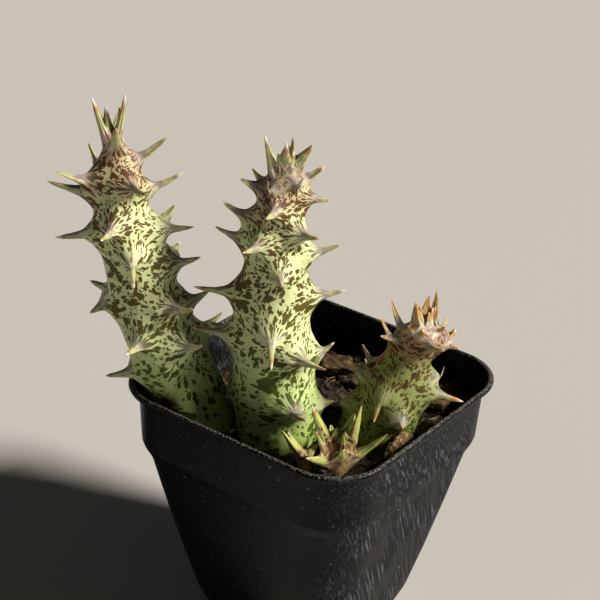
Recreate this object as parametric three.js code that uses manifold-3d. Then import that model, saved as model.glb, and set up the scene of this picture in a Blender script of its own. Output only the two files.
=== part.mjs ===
// A caralluma cutting that has rooted and branched, in a square plastic nursery pot.
// Millimetres, +Z up. The origin is the centre of the pot's underside, on the surface it stands on,
// and X and Y run along the pot's sides. Compass angles are in degrees from +X towards +Y.

import * as THREE from "three";
import { mergeVertices } from "three/addons/utils/BufferGeometryUtils.js";
import Module from "manifold-3d";

const wasm = await Module();
wasm.setup();

// ---------------------------------------------------------------- driving dimensions

// pot
const pot_side = 70; // across the rim, outside
const pot_height = 66;
const pot_wall = 1.0;
const pot_floor = 1.4;
const pot_corner = 13; // outside radius of the upright corners
const lip_height = 3; // the flared edge at the very top
const lip_flare = 1.8;
const band_height = 13; // the deeper collar under the lip
const band_taper = 0.6;
const step_in = 1.2; // where the collar meets the tapered body
const step_height = 3;
const base_side = 46; // across the body at the knee
const knee_height = 7.3;
const foot_inset = 3; // the foot draws in below the knee
const drain_hole = 4.6;
const drain_count = 4;
const drain_inset = 9; // hole centre from the foot's edge, along the diagonal

// soil
const soil_below_rim = 9;
const soil_bed = 0.4; // the soil's underside over the pot's floor
const soil_slope = 0.8; // how far the top climbs towards +X and towards +Y
const soil_hollow = 5; // how far the top drops in the corner between -X and +Y

// clearances between pieces that touch
const gap = 0.3;

// stems: thickness low down, and height of the growing tip over the soil
const left_thickness = 19.2;
const left_height = 70;
const middle_thickness = 20.6;
const middle_height = 68;
const right_thickness = 19.8;
const right_height = 31;
const shoot_thickness = 6;
const shoot_height = 7;
const side_shoot_thickness = 4;
const side_shoot_height = 4;
const stem_buried = 12; // how deep the callused foot of a stem sits in the soil
const shoot_buried = 5;
const stem_waist = 0.06; // how much narrower a stem is where it enters the soil
const waist_height = 6;
const dome_power = 4; // higher keeps the stem thick for longer before its tip
const foot_power = 2.4; // the same for the buried foot
const middle_compass = 19.7; // from the left stem's foot to the middle one's
const middle_open_soil = 0.45; // between those two where they come out of the soil
const right_compass = 39; // from the middle stem's foot to the right one's
const right_open_soil = 3.5;

// teeth, the hard points on the stems' ridges
const tooth_thickness = 8; // across the swollen foot of a full tooth
const tooth_root = 3; // how far a tooth starts inside its stem
const tooth_seat = 0.92; // where a tooth begins, as a share of the stem's half thickness

// fineness of the facets
const corner_facets = 8;
const stem_sides = 14;
const stem_rings = 12;
const tooth_sides = 6;
const hole_sides = 12;

// ---------------------------------------------------------------- worked-out sizes

const rim_half = pot_side / 2;
const band_half = rim_half - lip_flare;
const band_foot_half = band_half - band_taper;
const body_half = band_foot_half - step_in;
const knee_half = base_side / 2;
const foot_half = knee_half - foot_inset;
const band_z = pot_height - lip_height;
const step_z = band_z - band_height;
const body_z = step_z - step_height;
const soil_z = pot_height - soil_below_rim;

// ---------------------------------------------------------------- helpers

const radians = THREE.MathUtils.degToRad;
const lerp = THREE.MathUtils.lerp;

function dull(color, roughness) {
  return new THREE.MeshStandardMaterial({ color, roughness, metalness: 0 });
}

// A closed geometry as a manifold solid.
function solid(geometry) {
  const bare = geometry.clone();
  bare.deleteAttribute("normal");
  bare.deleteAttribute("uv");
  const merged = mergeVertices(bare, 1e-4);
  return new wasm.Manifold(
    new wasm.Mesh({
      numProp: 3,
      vertProperties: new Float32Array(merged.attributes.position.array),
      triVerts: new Uint32Array(merged.index.array),
    }),
  );
}

// A manifold solid as a geometry.
function geometryOf(body) {
  const mesh = body.getMesh();
  const geometry = new THREE.BufferGeometry();
  geometry.setAttribute("position", new THREE.BufferAttribute(mesh.vertProperties, 3));
  geometry.setIndex(new THREE.BufferAttribute(mesh.triVerts, 1));
  return geometry;
}

// Moves every vertex of a geometry by a function that changes the point it is given.
function mould(geometry, change) {
  const places = geometry.attributes.position;
  const point = new THREE.Vector3();
  for (let i = 0; i < places.count; i += 1) {
    point.fromBufferAttribute(places, i);
    change(point, i);
    places.setXYZ(i, point.x, point.y, point.z);
  }
  return geometry;
}

// A profile of [half side, height] points swept round a square with rounded corners. A point may
// hold a corner radius of its own. Each quarter turn has one corner arc, and the flats lie between.
function squareLathe(profile, corner) {
  const points = profile.map(([half, z]) => new THREE.Vector2(half, z));
  const quarter = corner_facets + 1;
  const lathe = new THREE.LatheGeometry(points, 4 * quarter);
  return mould(lathe, (point, i) => {
    const spoke = Math.floor(i / points.length) % (4 * quarter);
    const side = Math.floor(spoke / quarter);
    const [half, z, own_corner = corner] = profile[i % points.length];
    const radius = Math.min(half, own_corner);
    const turn = radians(90 * side + (90 * (spoke % quarter)) / corner_facets);
    const centre = radians(90 * side + 45);
    const reach = (half - radius) * Math.SQRT2;
    point.x = reach * Math.cos(centre) + radius * Math.cos(turn);
    point.y = reach * Math.sin(centre) + radius * Math.sin(turn);
    point.z = z;
  });
}

// ---------------------------------------------------------------- pot

function potHalfInside(z) {
  const steps = [
    [0, foot_half],
    [knee_height, knee_half],
    [body_z, body_half],
    [step_z, band_foot_half],
    [band_z, band_half],
    [pot_height, rim_half],
  ];
  const over = Math.max(1, steps.findIndex(([height]) => height >= z));
  const [z0, half0] = steps[over - 1];
  const [z1, half1] = steps[over];
  return lerp(half0, half1, (z - z0) / (z1 - z0)) - pot_wall;
}

function nurseryPot() {
  const outside = [
    [0, 0],
    [foot_half, 0],
    [knee_half, knee_height],
    [body_half, body_z],
    [band_foot_half, step_z],
    [band_half, band_z],
    [rim_half, pot_height],
  ];
  const inside = [pot_height, band_z, step_z, body_z, knee_height, pot_floor].map((z) => [
    potHalfInside(z),
    z,
    pot_corner - pot_wall,
  ]);
  const shell = squareLathe([...outside, ...inside, [0, pot_floor]], pot_corner);
  let pot = solid(shell);
  const out = foot_half - drain_inset;
  for (let i = 0; i < drain_count; i += 1) {
    const drill = new THREE.CylinderGeometry(drain_hole / 2, drain_hole / 2, 4 * pot_floor, hole_sides);
    drill.rotateX(Math.PI / 2);
    const compass = radians(45 + (360 * i) / drain_count);
    const reach = out * Math.SQRT2;
    drill.translate(reach * Math.cos(compass), reach * Math.sin(compass), 0);
    pot = pot.subtract(solid(drill));
  }
  return geometryOf(pot);
}

// ---------------------------------------------------------------- soil

const soil_half = potHalfInside(soil_z) - gap;

function soilTop(x, y) {
  const across = x / soil_half;
  const along = y / soil_half;
  const towards_hollow = Math.max(0, (along - across) / 2);
  return soil_z + soil_slope * (across + along) - soil_hollow * towards_hollow ** 2;
}

// The soil fills the pot, less its sockets: the buried feet of the stems, grown by the gap.
function pottingSoil(feet) {
  const bed = pot_floor + soil_bed;
  const sides = [bed, knee_height, body_z, step_z, soil_z].map((z) => [potHalfInside(z) - gap, z]);
  const top = [0.8, 0.6, 0.4, 0.2, 0].map((share) => [share * soil_half, soil_z]);
  const block = squareLathe([[0, bed], ...sides, ...top], pot_corner - pot_wall - gap);
  mould(block, (point) => {
    if (point.z > soil_z - 0.01) {
      point.z = soilTop(point.x, point.y);
    }
  });
  let soil = solid(block);
  for (const foot of feet) {
    soil = soil.subtract(foot);
  }
  return geometryOf(soil);
}

// ---------------------------------------------------------------- stems

// Where a stem of a given thickness stands: a share of the room between the pot's walls.
function standing(share_x, share_y, thickness) {
  const room = soil_half - thickness / 2 - gap;
  return [share_x * room, share_y * room];
}

// Where a stem stands beside another, with open soil between them.
function beside([x, y], compass, thickness_a, thickness_b, open_soil) {
  const apart = ((1 - stem_waist) * (thickness_a + thickness_b)) / 2 + open_soil;
  return [x + apart * Math.cos(radians(compass)), y + apart * Math.sin(radians(compass))];
}

const left_foot = standing(-0.83, -0.9, left_thickness);
const middle_foot = beside(
  left_foot,
  middle_compass,
  left_thickness,
  middle_thickness,
  middle_open_soil,
);
const right_foot = beside(
  middle_foot,
  right_compass,
  middle_thickness,
  right_thickness,
  right_open_soil,
);

// The midline's point at a height over the soil. lean is how far the tip stands to the side, and bow
// how far the middle swells out, both as shares of the height. early is how soon the stem leans: 1 is
// a straight stem, and more bends it near the foot. Under the soil the stem goes straight down.
function midlineAt({ foot, height, lean, early, bow }, h) {
  const share = THREE.MathUtils.clamp(h / height, 0, 1);
  const leant = 1 - (1 - share) ** early;
  const bowed = Math.sin(Math.PI * share);
  const x = foot[0] + height * (lean[0] * leant + bow[0] * bowed);
  const y = foot[1] + height * (lean[1] * leant + bow[1] * bowed);
  return new THREE.Vector3(x, y, soil_z + h);
}

// Half thickness at a height over the soil: a rounded foot, a slight waist at the soil, a full body
// that tapers, and a domed tip.
function halfThickness({ thickness, height, buried, taper }, h) {
  const full = thickness / 2;
  const waist = 1 - stem_waist * Math.exp(-Math.max(0, h) / waist_height);
  if (h < 0) {
    const down = Math.min(1, -h / buried);
    return full * waist * Math.sqrt(Math.max(0, 1 - down ** foot_power));
  }
  const share = Math.min(1, h / height);
  const dome = Math.sqrt(Math.max(0, 1 - share ** dome_power));
  return full * waist * (1 - taper * share) * dome;
}

// The stem without teeth. Each ring stands square to the midline, and grow makes it fatter all over.
function stemCore(stem, grow = 0) {
  const rings = new THREE.CylinderGeometry(1, 1, 1, stem_sides, stem_rings);
  rings.rotateX(Math.PI / 2);
  const up = new THREE.Vector3(0, 0, 1);
  const low = -stem.buried - grow;
  const high = stem.height + grow;
  return mould(rings, (point) => {
    const share = point.z + 0.5;
    const eased = (1 - Math.cos(Math.PI * share)) / 2;
    const h = lerp(low, high, lerp(share, eased, 0.5));
    const inner = THREE.MathUtils.clamp(h, 0.02 - stem.buried, stem.height - 0.02);
    const half = halfThickness(stem, inner) + grow;
    const centre = midlineAt(stem, inner);
    const along = midlineAt(stem, inner + 0.5).sub(midlineAt(stem, inner - 0.5)).normalize();
    const ring = new THREE.Vector3(point.x * half, point.y * half, h - inner);
    ring.applyQuaternion(new THREE.Quaternion().setFromUnitVectors(up, along));
    point.copy(centre.add(ring));
  });
}

// One tooth along +Z: a swollen foot that sweeps in to a fine hard point, which may bend up or down.
function tooth(length, thickness, bend) {
  const foot = thickness / 2;
  const profile = [
    [0, -tooth_root],
    [foot, -tooth_root],
    [foot * 0.66, 0],
    [foot * 0.34, 0.26 * length],
    [foot * 0.14, 0.62 * length],
    [0, length],
  ].map(([radius, out]) => new THREE.Vector2(radius, out));
  const cone = new THREE.LatheGeometry(profile, tooth_sides);
  cone.rotateX(Math.PI / 2);
  return mould(cone, (point) => {
    const out = Math.max(0, point.z / length);
    point.y += bend * length * out * out;
  });
}

// Teeth are [share of the toothed height, compass, length, rise] and, where they differ from the
// rest, the share of the usual thickness and the bend of the point.
function toothOn(stem, [height_share, compass, length, rise, share = 1, bend = 0.08]) {
  const h = lerp(stem.toothless, stem.height, height_share);
  const turn = radians(compass);
  const tip_up = radians(rise);
  const inner = Math.min(h, stem.height - 0.5);
  const sideways = new THREE.Vector3(Math.cos(turn), Math.sin(turn), 0);
  const upward = new THREE.Vector3(0, 0, 1);
  const out = sideways.clone().multiplyScalar(Math.cos(tip_up)).addScaledVector(upward, Math.sin(tip_up));
  const across = new THREE.Vector3().crossVectors(upward, sideways).normalize();
  const over = new THREE.Vector3().crossVectors(out, across).normalize();
  const frame = new THREE.Matrix4().makeBasis(across, over, out);
  const root = midlineAt(stem, inner);
  root.addScaledVector(sideways, halfThickness(stem, inner) * Math.cos(tip_up) * tooth_seat);
  root.z += h - inner;
  frame.setPosition(root);
  return tooth(length, stem.tooth_thickness * share, bend).applyMatrix4(frame);
}

function stemGeometry(stem) {
  let body = solid(stemCore(stem));
  for (const row of stem.teeth) {
    body = body.add(solid(toothOn(stem, row)));
  }
  return geometryOf(body);
}

const stems = {
  tall_left_stem: {
    foot: left_foot,
    toothless: soil_below_rim, // it leans over the rim, so its teeth start above that
    thickness: left_thickness,
    height: left_height,
    buried: stem_buried,
    taper: 0.12,
    lean: [-0.234, -0.171],
    early: 1.8,
    bow: [0, 0],
    tooth_thickness,
    teeth: [
      // towards -X and -Y
      [0.048, 230, 8.5, -6],
      [0.323, 223, 6.5, -22],
      [0.621, 224, 9, -12],
      [0.782, 218, 10, 6],
      // towards -Y
      [0.231, 285, 7.5, 0],
      [0.575, 316, 9.5, -26],
      [0.69, 295, 8.5, -2],
      [0.851, 245, 9.5, 12],
      // towards +X
      [0.208, 347, 9, 20],
      [0.38, 350, 10, 10],
      [0.839, 340, 9.5, 2],
      // towards +X and +Y
      [0.357, 40, 7, 14],
      [0.507, 34, 7.5, 10],
      [0.656, 35, 8.5, -4],
      [0.805, 42, 9.5, 16],
      [0.92, 43, 10, 26, 0.8],
      // towards +Y and -X, the side that faces away
      [0.197, 66, 8, 16],
      [0.507, 72, 5, 18],
      [0.656, 68, 6, 16],
      [0.116, 110, 7.5, 8],
      [0.415, 118, 8, 4],
      [0.736, 124, 8, 6],
      [0.266, 160, 8, 4],
      [0.357, 192, 7, -2],
      [0.552, 166, 8, 6],
      [0.851, 164, 8, 18],
      // the crown
      [0.989, 216, 9.5, 62, 0.8],
      [1, 190, 6.5, 72, 0.5],
      [1, 30, 9.5, 72, 0.6],
      [0.954, 318, 8, 52, 0.8],
      [0.989, 110, 6.5, 60, 0.6],
    ],
  },
  tall_middle_stem: {
    foot: middle_foot,
    toothless: 0,
    thickness: middle_thickness,
    height: middle_height,
    buried: stem_buried,
    taper: 0.25,
    lean: [-0.009, -0.006],
    early: 1,
    bow: [-0.026, -0.019],
    tooth_thickness,
    teeth: [
      // towards -X and -Y
      [0.13, 210, 3.6, -24, 0.8],
      [0.37, 217, 10, 3],
      [0.53, 217, 10, 0],
      [0.72, 213, 7.5, 14],
      [0.82, 213, 7.5, 10],
      [0.91, 214, 6, 11, 0.8],
      // towards -Y and +X
      [0.44, 308, 10, -18, 1, -0.1],
      [0.65, 314, 8, 2],
      [0.75, 276, 7.5, -2],
      [0.87, 293, 8.5, 0],
      // towards +X
      [0.16, 331, 9, 8],
      [0.35, 346, 10.5, 3],
      [0.78, 347, 8, 8],
      // towards +X and +Y
      [0.12, 33, 4.5, 6, 0.8],
      [0.31, 37, 6.5, 22],
      [0.53, 36, 8.5, 6],
      [0.69, 35, 7.5, 10],
      [0.88, 33, 6, -8],
      // towards +Y and -X, the side that faces away
      [0.21, 96, 7, 8],
      [0.44, 86, 8, 10],
      [0.6, 90, 7.5, 10],
      [0.81, 92, 7, 14],
      [0.32, 146, 8, 6],
      [0.56, 150, 8, 8],
      [0.74, 142, 7.5, 10],
      [0.18, 178, 6, -8],
      [0.35, 190, 8, -4],
      [0.91, 168, 6.5, 2, 0.8],
      // the crown
      [0.97, 214, 8, 60, 0.8],
      [0.99, 300, 5.5, 74, 0.5],
      [0.99, 60, 6, 76, 0.5],
      [0.97, 30, 7.5, 52, 0.8],
      [0.94, 36, 6.5, 26, 0.7],
      [0.94, 340, 5.5, 30, 0.6],
      [0.97, 120, 5, 50, 0.6],
    ],
  },
  short_right_stem: {
    foot: right_foot,
    toothless: 0,
    thickness: right_thickness,
    height: right_height,
    buried: stem_buried,
    taper: 0.2,
    lean: [0.252, 0.184],
    early: 1,
    bow: [0, 0],
    tooth_thickness,
    teeth: [
      [0.29, 215, 4.5, 10, 0.8],
      [0.52, 219, 6, 26],
      [0.9, 240, 5.5, -4],
      [0.42, 283, 6.5, -34, 0.8],
      [0.26, 320, 5, 10, 0.8],
      [0.39, 27, 8.5, -12],
      [0.9, 329, 8, 3],
      [0.55, 38, 3, 22, 0.6],
      [0.77, 36, 4.5, -6, 0.8],
      [0.84, 38, 4.5, 25, 0.7],
      [0.87, 74, 4.5, 16, 0.7],
      [0.29, 90, 6, 10],
      [0.61, 98, 6.5, 14],
      [0.35, 150, 6.5, 6],
      [0.52, 161, 7, 0],
      [0.71, 156, 7.5, 17, 0.8],
      [0.84, 153, 8.5, 21, 0.8],
      [0.97, 285, 9, 50, 0.7],
      [0.97, 20, 8.5, 74, 0.7],
      [0.9, 110, 7, 42, 0.7],
      [0.97, 200, 5, 70, 0.6],
    ],
  },
  young_front_shoot: {
    foot: standing(0.69, -0.58, shoot_thickness),
    toothless: 0,
    thickness: shoot_thickness,
    height: shoot_height,
    buried: shoot_buried,
    taper: 0.2,
    lean: [0, 0],
    early: 1,
    bow: [0, 0],
    tooth_thickness: 4,
    teeth: [
      [0.64, 205, 12, 58, 0.9],
      [0.5, 226, 7, 52, 0.8],
      [0.57, 80, 9, 62, 0.9],
      [0.57, 40, 12.5, 68],
      [0.21, 36, 11.5, 36],
      [0.29, 262, 9, 24],
      [0.43, 320, 4.5, 50],
      [0.86, 160, 3.5, 76, 0.6],
      [0.86, 0, 3.5, 72, 0.6],
      [0.36, 140, 6.5, 30, 0.8],
    ],
  },
  young_side_shoot: {
    foot: standing(0.495, -0.75, side_shoot_thickness),
    toothless: 0,
    thickness: side_shoot_thickness,
    height: side_shoot_height,
    buried: shoot_buried,
    taper: 0.2,
    lean: [0, 0],
    early: 1,
    bow: [0, 0],
    tooth_thickness: 3,
    teeth: [
      [0.75, 214, 8, 50],
      [0.88, 190, 6, 44, 0.9],
      [0.75, 60, 4, 50, 0.8],
      [0.75, 320, 4, 36, 0.8],
    ],
  },
};

// ---------------------------------------------------------------- bits on the soil

// A rough lump: a sphere drawn out to its three sizes, with an uneven skin.
function lump([long, wide, thick], roughness, sides = 8) {
  const ball = new THREE.SphereGeometry(0.5, sides, Math.round(sides * 0.75));
  return mould(ball, (point) => {
    const wave = Math.sin(9 * point.x + 2) + Math.sin(11 * point.y + 1) * Math.cos(8 * point.z);
    point.multiplyScalar(1 + roughness * wave);
    point.set(point.x * long, point.y * wide, point.z * thick);
  });
}

// A place on the soil as shares of its half width.
function onSoil(share_x, share_y) {
  return [share_x * soil_half, share_y * soil_half];
}

// A place on the soil at a distance from a stem's side.
function fromStem([x, y], thickness, compass, distance) {
  const reach = thickness / 2 + distance;
  return [x + reach * Math.cos(radians(compass)), y + reach * Math.sin(radians(compass))];
}

// Bits rest on the soil: where, three sizes, compass of the long side, tilt.
const bits = {
  dried_root_lump: { at: onSoil(0.905, -0.15), size: [9.4, 3.8, 5], compass: 84, tilt: 0 },
  pale_wall_chip: { at: onSoil(0.9, 0.36), size: [4.4, 3, 2], compass: 70, tilt: 12 },
  brown_wall_chip: { at: onSoil(0.78, 0.58), size: [7, 4, 3], compass: 100, tilt: 18 },
  back_bark_chip: { at: onSoil(-0.19, 0.58), size: [12, 7, 3.4], compass: 30, tilt: 10 },
  small_bark_chip: { at: onSoil(0.08, 0.46), size: [4.6, 3.6, 2.6], compass: 10, tilt: 12 },
  front_bark_chip: {
    at: fromStem(middle_foot, middle_thickness, -0.8, 3.3),
    size: [3.8, 2.8, 2.4],
    compass: 60,
    tilt: 10,
  },
  pink_bark_chip: { at: onSoil(0.66, -0.36), size: [4, 2.6, 2], compass: 20, tilt: 6 },
};

function bitGeometry({ at: [x, y], size, compass, tilt }) {
  const bit = lump(size, 0.06);
  bit.rotateX(radians(tilt));
  bit.rotateZ(radians(compass));
  bit.computeBoundingBox();
  const low = bit.boundingBox.min.z;
  const ring = [0, 90, 180, 270].map((turn) => {
    const reach = size[1] / 2;
    return soilTop(x + reach * Math.cos(radians(turn)), y + reach * Math.sin(radians(turn)));
  });
  bit.translate(x, y, Math.max(soilTop(x, y), ...ring) + gap - low);
  return bit;
}

// ---------------------------------------------------------------- assembly

const black_plastic = dull(0x1b1c1c, 0.55);
const dark_soil = dull(0x2e241c, 0.95);
const green_skin = dull(0xb4c48a, 0.55);
const young_skin = dull(0xa6ad72, 0.55);
const dry_root = dull(0xa98a66, 0.9);
const bark = dull(0x6b4c36, 0.9);

const plant = new THREE.Group();

function place(name, geometry, material) {
  const mesh = new THREE.Mesh(geometry, material);
  mesh.name = name;
  plant.add(mesh);
}

place("nursery_pot", nurseryPot(), black_plastic);
const feet = Object.values(stems).map((stem) => solid(stemCore(stem, gap)));
place("potting_soil", pottingSoil(feet), dark_soil);
for (const [name, stem] of Object.entries(stems)) {
  place(name, stemGeometry(stem), name.startsWith("young") ? young_skin : green_skin);
}
for (const [name, bit] of Object.entries(bits)) {
  place(name, bitGeometry(bit), name.includes("root") ? dry_root : bark);
}

export default plant;
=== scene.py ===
import math
import random
from functools import partial

import bmesh
import bpy
import numpy as np
from mathutils import Matrix, Vector


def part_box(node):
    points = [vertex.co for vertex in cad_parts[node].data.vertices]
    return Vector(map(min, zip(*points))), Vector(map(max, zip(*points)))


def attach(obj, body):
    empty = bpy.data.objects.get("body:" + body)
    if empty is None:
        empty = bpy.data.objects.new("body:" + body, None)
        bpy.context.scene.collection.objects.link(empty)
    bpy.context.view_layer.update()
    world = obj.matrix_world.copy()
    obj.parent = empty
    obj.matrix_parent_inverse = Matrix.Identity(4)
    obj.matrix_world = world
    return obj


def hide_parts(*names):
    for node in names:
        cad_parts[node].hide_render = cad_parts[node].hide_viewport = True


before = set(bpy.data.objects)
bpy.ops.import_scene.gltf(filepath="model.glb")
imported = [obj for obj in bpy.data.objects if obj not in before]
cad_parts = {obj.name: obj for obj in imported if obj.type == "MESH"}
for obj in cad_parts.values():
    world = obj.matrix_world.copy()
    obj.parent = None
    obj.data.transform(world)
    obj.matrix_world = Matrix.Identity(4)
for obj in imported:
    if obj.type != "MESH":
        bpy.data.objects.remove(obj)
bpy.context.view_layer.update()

# A rooted caralluma cutting in a square nursery pot: three spotted, toothed stems, two young shoots
# and the litter on the soil. Lengths are in millimetres, and mm() or MM makes them metres.
# The origin is the centre of the pot's underside, +Z is up, and X and Y run along the pot's sides.

_, pot_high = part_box("nursery_pot")
_, soil_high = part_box("potting_soil")

MM = 0.001
UP = Vector((0, 0, 1))

pot_height = pot_high.z / MM
foot_half = 20.0
pot_corner = 13.0
drain_hole = 4.6
drain_reach = 11.0
soil_below_rim = 9.0
soil_z = pot_height - soil_below_rim
soil_half = soil_high.x / MM

chance = random.Random(17)


# -------- small helpers


def mm(*place):
    """Millimetres as a vector in metres."""
    return Vector(place) * MM


def deselect_everything():
    if bpy.context.mode != "OBJECT":
        bpy.ops.object.mode_set(mode="OBJECT")
    bpy.ops.object.select_all(action="DESELECT")


def work_on(piece):
    deselect_everything()
    bpy.context.view_layer.objects.active = piece
    piece.select_set(True)


def edit(piece):
    work_on(piece)
    bpy.ops.object.mode_set(mode="EDIT")


def new_piece(name):
    """Names the object that an operator has just made."""
    piece = bpy.context.object
    piece.name = name
    piece.data.name = name
    return piece


def pick(piece, kind, wanted):
    """Selects the faces or vertices whose place, in millimetres, passes a test. Returns how many."""
    mesh = bmesh.from_edit_mesh(piece.data)
    bpy.ops.mesh.select_mode(type=kind)
    found = 0
    for part in mesh.faces if kind == "FACE" else mesh.verts:
        chosen = wanted((part.calc_center_median() if kind == "FACE" else part.co) / MM)
        part.select_set(chosen)
        found += chosen
    mesh.select_flush_mode()
    bmesh.update_edit_mesh(piece.data)
    return found


def pick_nearest(piece, place):
    """Selects the vertex nearest to a place in millimetres, and returns where it is."""
    mesh = bmesh.from_edit_mesh(piece.data)
    bpy.ops.mesh.select_mode(type="VERT")
    for vertex in mesh.verts:
        vertex.select_set(False)
    target = place * MM
    nearest = min(mesh.verts, key=lambda vertex: (vertex.co - target).length_squared)
    nearest.select_set(True)
    mesh.select_flush_mode()
    bmesh.update_edit_mesh(piece.data)
    return nearest.co / MM


def picked_centre(piece):
    """The middle of what is picked, in metres."""
    mesh = bmesh.from_edit_mesh(piece.data)
    chosen = [vertex.co for vertex in mesh.verts if vertex.select]
    return sum(chosen, Vector()) / len(chosen)


def pull(shift, reach, falloff="SMOOTH"):
    """Moves what is picked by a shift in millimetres and draws the surface round it along."""
    bpy.ops.transform.translate(
        value=shift * MM,
        use_proportional_edit=True,
        proportional_edit_falloff=falloff,
        proportional_size=reach * MM,
    )


def modify(piece, kind, **settings):
    """Adds a modifier with its settings and applies it."""
    work_on(piece)
    modifier = piece.modifiers.new(kind.title(), kind)
    for name, value in settings.items():
        setattr(modifier, name, value)
    bpy.ops.object.modifier_apply(modifier=modifier.name)


def roughen(piece, depth, grain, kind="CLOUDS", **settings):
    """Displaces the surface by depth, with lumps of about the grain's size, both in millimetres."""
    texture = bpy.data.textures.new(piece.name + "_grain", kind)
    texture.noise_scale = grain * MM
    modify(piece, "DISPLACE", texture=texture, strength=depth * MM, texture_coords="LOCAL", **settings)


def smooth(piece, angle=None):
    work_on(piece)
    if angle is None:
        bpy.ops.object.shade_smooth()
    else:
        bpy.ops.object.shade_smooth_by_angle(angle=math.radians(angle))


def set_place(piece):
    """Puts the piece's place, turn and size into its mesh, and its faces outwards."""
    work_on(piece)
    bpy.ops.object.transform_apply(location=True, rotation=True, scale=True)
    edit(piece)
    bpy.ops.mesh.select_all(action="SELECT")
    bpy.ops.mesh.normals_make_consistent(inside=False)
    deselect_everything()


def joined(name, parts):
    deselect_everything()
    for part in parts:
        part.select_set(True)
    bpy.context.view_layer.objects.active = parts[0]
    bpy.ops.object.join()
    return new_piece(name)


def hand_in(piece, material, slot, *nodes):
    """The finished piece gets its material, rides on the pot and stands for its CAD nodes."""
    piece.data.materials.clear()
    piece.data.materials.append(material)
    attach(piece, "root")
    if nodes:
        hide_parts(*nodes)


# -------- materials


def colour(code):
    """An sRGB hex colour as a linear one."""
    channels = [int(code[i : i + 2], 16) / 255 for i in (1, 3, 5)]
    linear = [c / 12.92 if c <= 0.04045 else ((c + 0.055) / 1.055) ** 2.4 for c in channels]
    return (*linear, 1.0)


def feed(made, inputs):
    """Sets a node's inputs to values, or links them to the nodes or sockets that feed them."""
    for name, value in dict(inputs).items():
        if isinstance(value, bpy.types.Node):
            value = value.outputs[0]
        if isinstance(value, bpy.types.NodeSocket):
            made.id_data.links.new(value, made.inputs[name])
        else:
            made.inputs[name].default_value = value


def node(tree, kind, inputs=(), stops=(), **settings):
    """Adds a node with its settings and links. stops are the places and colours on a ramp."""
    made = tree.nodes.new(kind)
    for name, value in settings.items():
        setattr(made, name, value)
    for i, (place, code) in enumerate(stops):
        if i >= len(made.color_ramp.elements):
            made.color_ramp.elements.new(place)
        made.color_ramp.elements[i].position = place
        made.color_ramp.elements[i].color = colour(code)
    feed(made, inputs)
    return made


def new_material(name, roughness, ior=1.45, **sockets):
    """A material with constant values on its shader. Returns it, its shader and what adds its nodes."""
    material = bpy.data.materials.new(name)
    material.use_nodes = True
    shader = material.node_tree.nodes["Principled BSDF"]
    shader.inputs["Roughness"].default_value = roughness
    shader.inputs["IOR"].default_value = ior
    for socket, value in sockets.items():
        shader.inputs[socket.replace("_", " ")].default_value = value
    return material, shader, partial(node, material.node_tree)


def per_mm(millimetres):
    """A texture scale for a pattern on object coordinates whose cells are this many millimetres."""
    return 1 / (millimetres * MM)


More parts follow.
